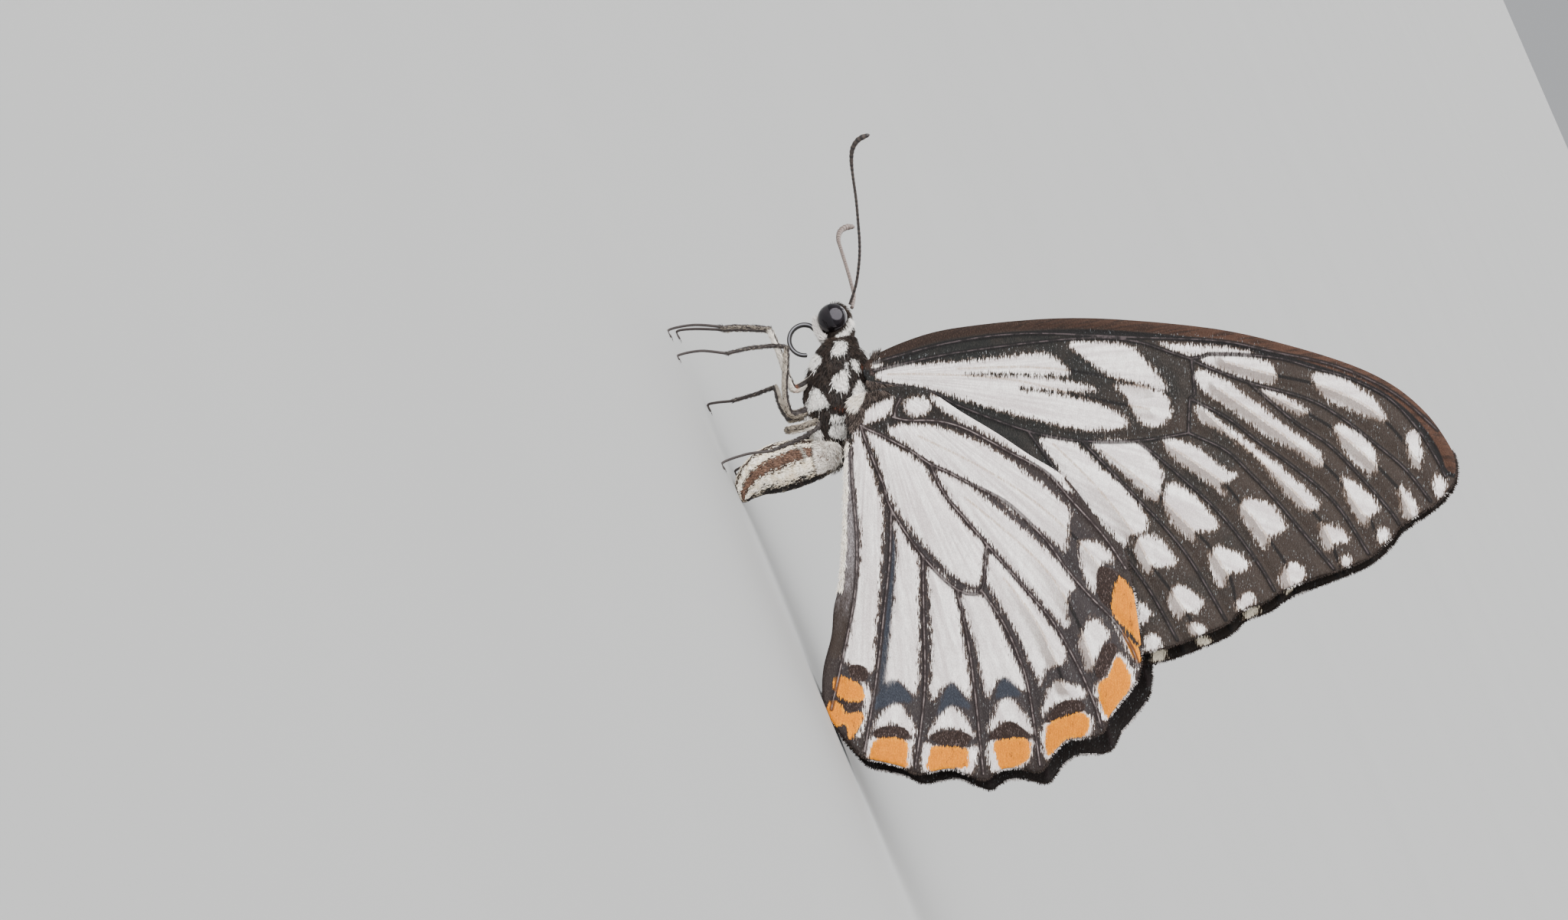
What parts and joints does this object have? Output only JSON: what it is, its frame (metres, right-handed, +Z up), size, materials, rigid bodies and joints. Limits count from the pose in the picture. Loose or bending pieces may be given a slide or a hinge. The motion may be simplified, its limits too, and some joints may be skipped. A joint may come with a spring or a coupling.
{
  "type": "common mime butterfly",
  "caption": "Life-size common mime butterfly at rest, wings closed over its back, abdomen curled down; one still model.",
  "frame": {"origin": "centre of the bounding box, at floor level under the feet", "axes": "+Z up, head towards -X, left side towards -Y; the middle plane is Y = 0"},
  "size_m": [0.058, 0.0224, 0.0583],
  "materials": {
    "body_scales": "brown-black hair and scales with white spots",
    "abdomen_scales": "cream scales with brown lengthwise stripes",
    "eye": "smooth glossy black facets",
    "palp_scales": "white scales",
    "proboscis": "satin black, finely ringed",
    "antenna": "matt black, finely ringed",
    "leg_scales": "grey-white scales with black lines",
    "wing_scales": "matt scales, white streaks on brown-black with orange edge spots"
  },
  "bodies": {
    "root": {"abdomen_base": "abdomen_scales", "abdomen_middle": "abdomen_scales", "abdomen_tip": "abdomen_scales", "antenna_left": "antenna", "antenna_right": "antenna", "eye_left": "eye", "eye_right": "eye", "forewing_left": "wing_scales", "forewing_right": "wing_scales", "head": "body_scales", "hindwing_left": "wing_scales", "hindwing_right": "wing_scales", "leg_front_left_coxa": "leg_scales", "leg_front_left_femur": "leg_scales", "leg_front_left_tarsus": "leg_scales", "leg_front_left_tibia": "leg_scales", "leg_front_right_coxa": "leg_scales", "leg_front_right_femur": "leg_scales", "leg_front_right_tarsus": "leg_scales", "leg_front_right_tibia": "leg_scales", "leg_hind_left_coxa": "leg_scales", "leg_hind_left_femur": "leg_scales", "leg_hind_left_tarsus": "leg_scales", "leg_hind_left_tibia": "leg_scales", "leg_hind_right_coxa": "leg_scales", "leg_hind_right_femur": "leg_scales", "leg_hind_right_tarsus": "leg_scales", "leg_hind_right_tibia": "leg_scales", "leg_middle_left_coxa": "leg_scales", "leg_middle_left_femur": "leg_scales", "leg_middle_left_tarsus": "leg_scales", "leg_middle_left_tibia": "leg_scales", "leg_middle_right_coxa": "leg_scales", "leg_middle_right_femur": "leg_scales", "leg_middle_right_tarsus": "leg_scales", "leg_middle_right_tibia": "leg_scales", "palp_left": "palp_scales", "palp_right": "palp_scales", "proboscis": "proboscis", "prothorax": "body_scales", "thorax": "body_scales"}
  },
  "joints": []
}
